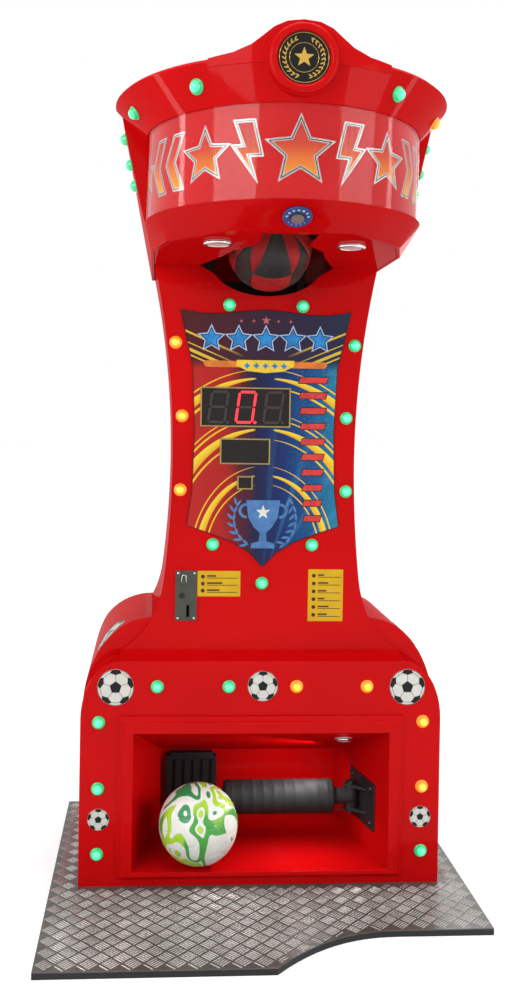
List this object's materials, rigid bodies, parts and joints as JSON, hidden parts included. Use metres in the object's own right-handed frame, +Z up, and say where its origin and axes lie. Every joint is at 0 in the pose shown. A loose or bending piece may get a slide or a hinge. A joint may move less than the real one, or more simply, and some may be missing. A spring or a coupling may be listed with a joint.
{
  "type": "boxing and kicking arcade machine",
  "caption": "Free-standing arcade machine with a swing-down punching bag under a lit head and a ball on a sprung arm in a recess at foot height, on a wide tread-plate platform.",
  "frame": {"origin": "on the floor, under the centre of the machine's bounding box", "axes": "+X to the player's right, +Y from the player into the machine, +Z up"},
  "size_m": [1.15, 1.2, 2.172],
  "materials": {
    "board": "matt",
    "tread": "raised tread pattern, satin",
    "red_moulding": "glossy sparkle paint",
    "clear_panel": "polished clear acrylic",
    "print_panel": "printed, glossy",
    "light_strip": "translucent white",
    "badge": "printed, glossy",
    "art_panel": "printed, glossy",
    "gold_trim": "polished",
    "display": "dark window, glossy",
    "coin_metal": "grey enamel, satin",
    "label": "printed sheet, satin",
    "green_lens": "translucent lens, lit",
    "amber_lens": "translucent lens, lit",
    "white_lens": "translucent lens, lit",
    "ball_print": "printed, glossy",
    "black_plastic": "satin",
    "black_sheet": "fine-texture powder coat",
    "zinc_steel": "zinc plated, satin",
    "bright_steel": "polished",
    "frame_paint": "satin paint",
    "circuit": "circuit board, satin",
    "bag_leather": "stitched hide, soft sheen",
    "blue_plastic": "glossy",
    "black_rubber": "matt",
    "ball_skin": "stitched, semi-gloss"
  },
  "bodies": {
    "machine": {"platform_board": "board", "tread_plate": "tread", "base_shell": "red_moulding", "recess_liner": "red_moulding", "recess_frame": "red_moulding", "column_shell": "red_moulding", "head_shell": "red_moulding", "head_crest": "red_moulding", "head_lip": "red_moulding", "head_soffit": "red_moulding", "marquee_panel": "clear_panel", "marquee_backing": "print_panel", "marquee_light": "light_strip", "crest_ring": "red_moulding", "crest_badge": "badge", "shield_panel": "art_panel", "display_frames": "gold_trim", "score_display": "display", "small_displays": "display", "coin_plate": "coin_metal", "coin_mech": "black_plastic", "coin_box": "zinc_steel", "label_plates": "label", "base_lamps_green": "green_lens", "base_lamps_amber": "amber_lens", "column_lamps_green": "green_lens", "column_lamps_amber": "amber_lens", "crest_lamps_green": "green_lens", "crest_lamps_amber": "amber_lens", "lamp_sockets": "black_plastic", "ball_emblems": "ball_print", "rear_panels": "black_sheet", "door_hinges": "zinc_steel", "mains_inlet": "black_plastic", "steel_frame": "frame_paint", "control_board": "circuit", "recess_downlight": "white_lens", "soffit_downlights": "white_lens", "punch_bearings": "frame_paint", "latch_solenoid": "black_plastic", "speed_sensor": "black_plastic", "start_button_ring": "blue_plastic", "kick_bracket": "black_sheet", "kick_pin": "bright_steel", "kick_buffer": "black_rubber", "kick_spring": "bright_steel"},
    "punch": {"punch_shaft": "bright_steel", "punch_arm": "zinc_steel", "punch_bag": "bag_leather", "bag_collar": "zinc_steel"},
    "latch": {"latch_hook": "zinc_steel"},
    "kicker": {"kick_arm": "black_sheet", "kick_sleeve": "black_rubber", "kick_ball": "ball_skin"},
    "starter": {"start_button": "bright_steel"},
    "rejector": {"coin_reject_button": "black_plastic"},
    "door": {"rear_door": "black_sheet"},
    "lock": {"door_lock": "bright_steel"}
  },
  "joints": [
    {"name": "punch_swing", "type": "hinge", "parent": "machine", "child": "punch", "pos_m": [0, -0.29, 1.9], "axis": [-1, 0, 0], "range_deg": [0, 82]},
    {"name": "latch_pivot", "type": "hinge", "parent": "machine", "child": "latch", "pos_m": [0.048, -0.345, 1.96], "axis": [1, 0, 0], "range_deg": [-12, 0]},
    {"name": "kick_swing", "type": "hinge", "parent": "machine", "child": "kicker", "pos_m": [0.28475, 0.171, 0.196], "axis": [0, 0, -1], "range_deg": [0, 18], "stiffness_Nm_per_rad": 60},
    {"name": "start_press", "type": "slide", "parent": "machine", "child": "starter", "axis": [0, 0.5012, 0.8653], "range_m": [0, 0.004], "stiffness_N_per_m": 400},
    {"name": "reject_press", "type": "slide", "parent": "machine", "child": "rejector", "axis": [0, 1, 0], "range_m": [0, 0.003], "stiffness_N_per_m": 300},
    {"name": "door_swing", "type": "hinge", "parent": "machine", "child": "door", "pos_m": [-0.152, 0.437, 1.2], "axis": [0, 0, 1], "range_deg": [0, 100]},
    {"name": "lock_turn", "type": "hinge", "parent": "door", "child": "lock", "pos_m": [0.11, 0.43, 1.2], "axis": [0, 1, 0], "range_deg": [0, 90]}
  ]
}
